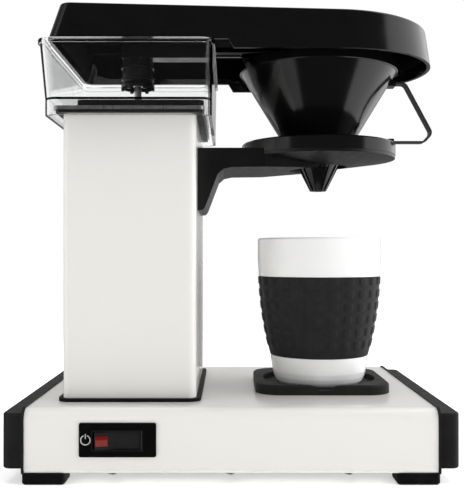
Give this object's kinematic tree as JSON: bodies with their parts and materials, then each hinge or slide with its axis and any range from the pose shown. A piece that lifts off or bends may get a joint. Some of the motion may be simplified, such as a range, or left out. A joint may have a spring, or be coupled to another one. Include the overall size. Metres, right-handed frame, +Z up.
{
  "type": "drip coffee maker",
  "caption": "Single-cup drip coffee maker with clear water tank, lift-off cover, filter funnel on a side arm and a sleeved mug on its plate.",
  "frame": {"origin": "on the counter, under the middle of the object's bounding box", "axes": "+Z up, +X from the tower towards the funnel, +Y from the switch side to the back"},
  "size_m": [0.2721, 0.1923, 0.2886],
  "materials": {
    "painted_shell": "satin off-white enamel",
    "black_plastic": "satin, fine texture",
    "black_gloss": "smooth gloss",
    "black_rubber": "matt",
    "clear_plastic": "clear, polished",
    "strap_black": "semi-gloss",
    "steel": "plain",
    "chrome": "polished",
    "aluminium": "as cast",
    "brass": "plain",
    "silicone": "translucent",
    "porcelain": "glazed white",
    "sleeve_rubber": "matt with raised squares",
    "red_lens": "clear red"
  },
  "bodies": {
    "base": {"base_housing": "painted_shell", "base_bottom_plate": "steel", "end_plate_left": "black_plastic", "end_plate_right": "black_plastic", "end_cap_left": "black_plastic", "end_cap_right": "black_plastic", "foot_front_left": "black_rubber", "foot_front_right": "black_rubber", "foot_back_left": "black_rubber", "foot_back_right": "black_rubber", "foot_screws": "steel", "bottom_screws": "steel", "end_cap_screws": "steel", "switch_plate": "black_gloss", "switch_body": "black_plastic", "switch_tabs": "brass", "cable_gland": "black_plastic", "gland_nut": "black_plastic", "column_shell": "painted_shell", "column_gasket": "black_rubber", "column_screws": "steel", "tower_collar": "black_plastic", "tower_top_plate": "steel", "tank_seal": "black_rubber", "tank": "clear_plastic", "riser_grommet": "black_rubber", "tank_strainer": "black_plastic", "riser_tube": "steel", "basket_holder": "black_plastic", "holder_screws": "steel", "cup_plate": "black_plastic", "plate_screws": "steel", "boiler_block": "aluminium", "boiler_tube": "brass", "heating_rods": "brass", "boiler_bracket": "steel", "thermostat": "aluminium", "thermal_fuse": "steel", "check_valve_body": "black_plastic", "inlet_hose": "silicone", "riser_hose": "silicone", "hose_clips": "steel", "terminal_block": "black_plastic", "terminal_screws": "steel", "earth_stud": "steel"},
    "cover": {"lid": "black_gloss"},
    "outlet": {"outlet_tube": "chrome", "riser_cage": "black_plastic", "spray_head": "black_plastic"},
    "basket": {"filter_funnel": "black_plastic", "basket_handle": "strap_black", "handle_pins": "steel"},
    "cup": {"mug": "porcelain", "mug_sleeve": "sleeve_rubber"},
    "switch_rocker": {"rocker": "black_gloss", "rocker_lens": "red_lens"},
    "valve_ball": {"check_valve_ball": "steel"}
  },
  "joints": [
    {"name": "cover_lift", "type": "slide", "parent": "base", "child": "cover", "axis": [0, 0, 1], "range_m": [0, 0.16]},
    {"name": "outlet_lift", "type": "slide", "parent": "base", "child": "outlet", "axis": [0, 0, 1], "range_m": [0, 0.112]},
    {"name": "basket_lift", "type": "slide", "parent": "base", "child": "basket", "axis": [0, 0, 1], "range_m": [0, 0.072]},
    {"name": "mug_draw_out", "type": "slide", "parent": "base", "child": "cup", "axis": [0, -0.9063, 0.4226], "range_m": [0, 0.16]},
    {"name": "rocker_tilt", "type": "hinge", "parent": "base", "child": "switch_rocker", "pos_m": [-0.068, -0.0899, 0.0262], "axis": [0, 0, 1], "range_deg": [-14, 0]},
    {"name": "valve_ball_lift", "type": "slide", "parent": "base", "child": "valve_ball", "axis": [0, 0, 1], "range_m": [0, 0.004]}
  ],
  "couplings": [
    {"joint": "outlet_lift", "follows": "cover_lift", "ratio": 0.7},
    {"joint": "basket_lift", "follows": "cover_lift", "ratio": 0.45}
  ]
}
